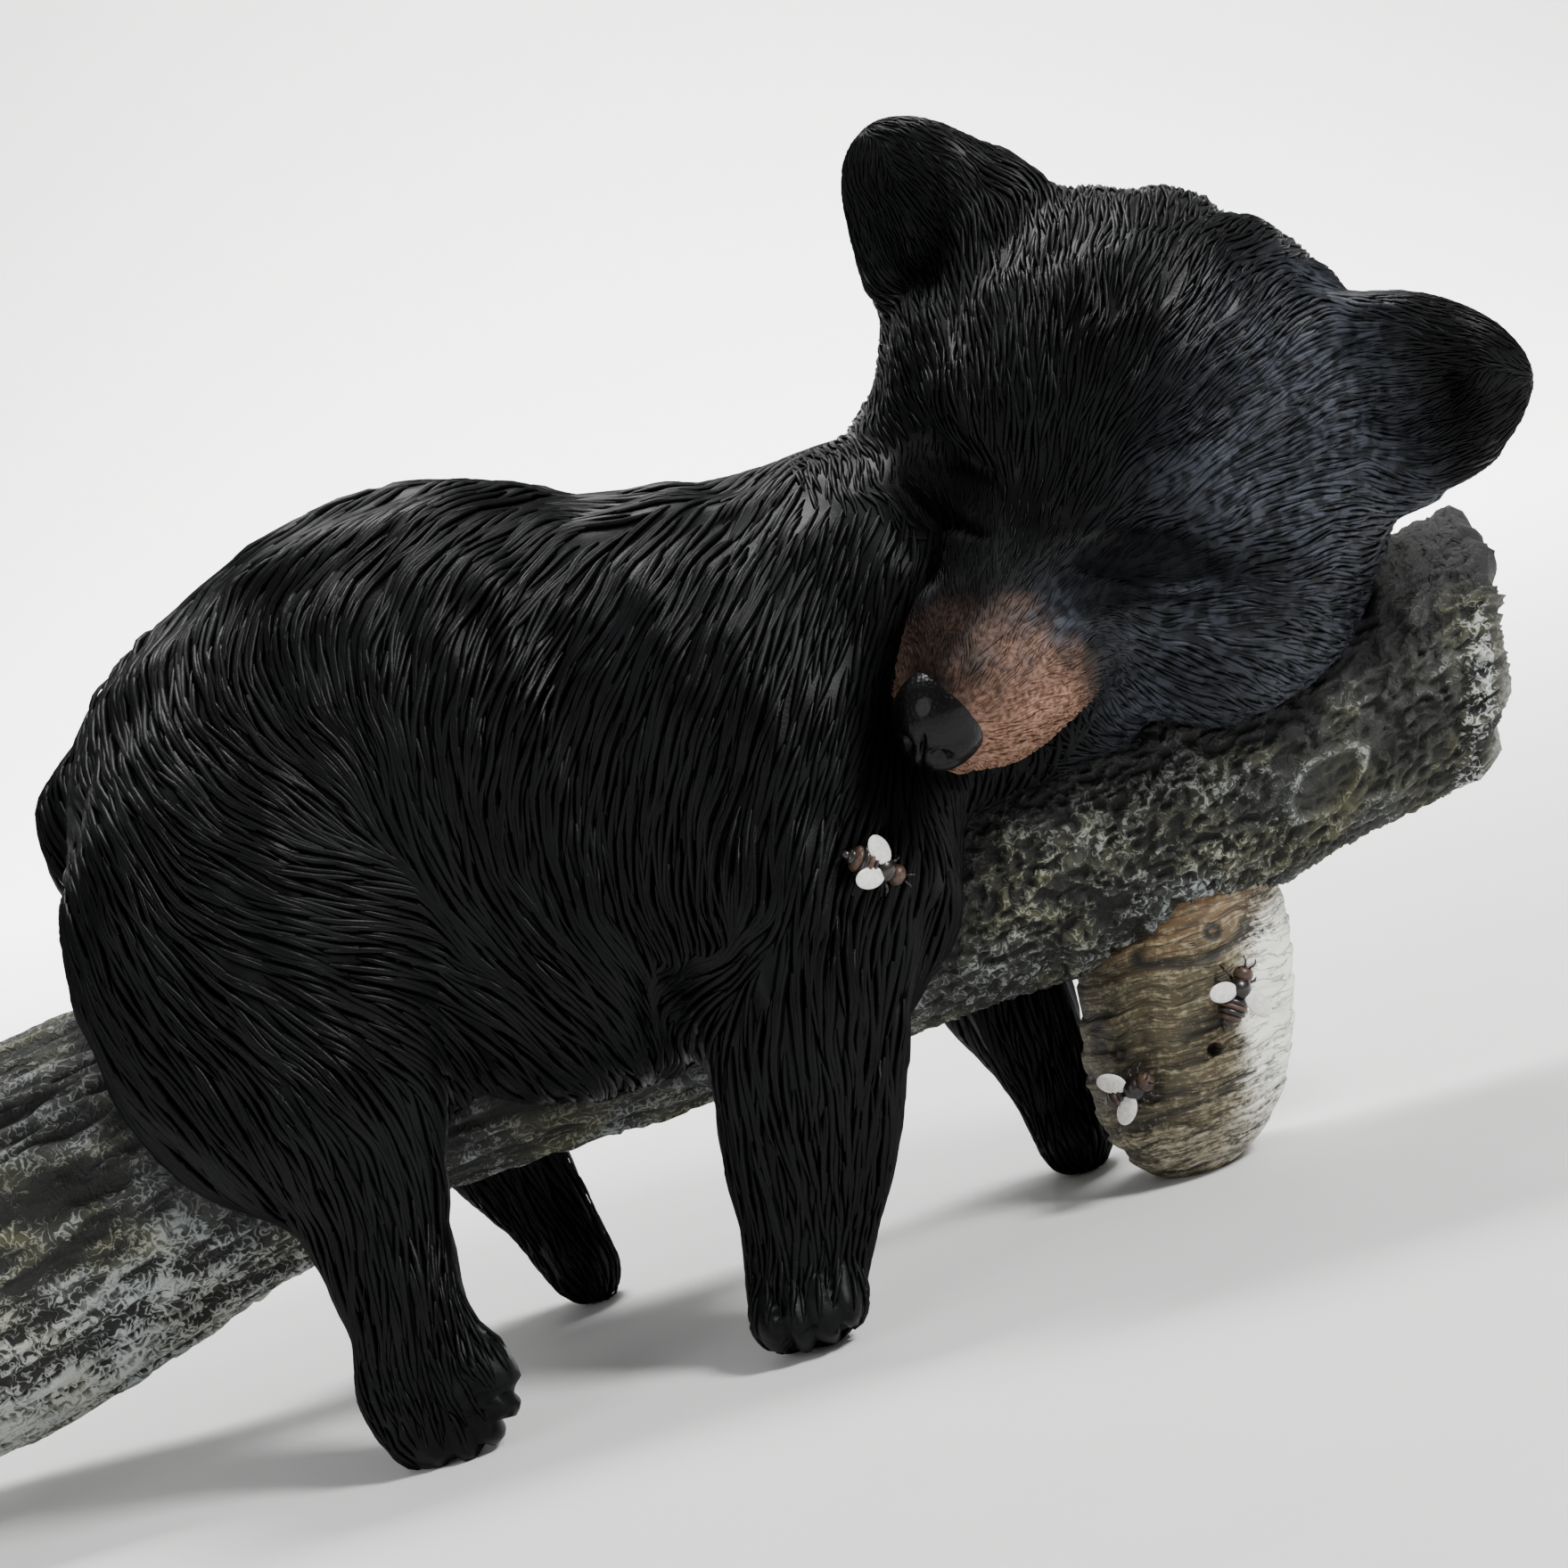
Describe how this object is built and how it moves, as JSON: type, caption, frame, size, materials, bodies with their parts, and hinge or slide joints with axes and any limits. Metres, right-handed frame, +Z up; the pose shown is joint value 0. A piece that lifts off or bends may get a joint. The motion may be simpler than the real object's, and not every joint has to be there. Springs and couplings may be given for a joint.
{
  "type": "resin bear cub on branch statue",
  "caption": "Painted resin statue of a bear cub asleep over a bark-covered branch, with a beehive hanging under it and small bees; it stands on its paws and the hive.",
  "frame": {"origin": "on the ground, under the middle of the statue's bounding box", "axes": "+Z up; +X along the branch, from its sawn butt past the rump to its broken tip past the cheek; -Y is the side that the cub's face turns to"},
  "size_m": [0.3206, 0.1192, 0.1924],
  "materials": {
    "black_fur_paint": "cast resin carved as fur, black satin paint with worn grey ridges; the muzzle is sprayed orange brown and the nose gloss black",
    "bark_paint": "cast resin carved as bark, dark olive brown wash with pale grey dry brushing",
    "hive_paper_paint": "cast resin in bands like wasp paper, tan wash with cream dry brushing",
    "bee_paint": "cast resin, dark brown gloss paint with white wings"
  },
  "bodies": {
    "root": {"bear_cub": "black_fur_paint", "branch": "bark_paint", "beehive": "hive_paper_paint", "bee_on_foreleg": "bee_paint", "bee_high_on_hive": "bee_paint", "bee_low_on_hive": "bee_paint"}
  },
  "joints": []
}
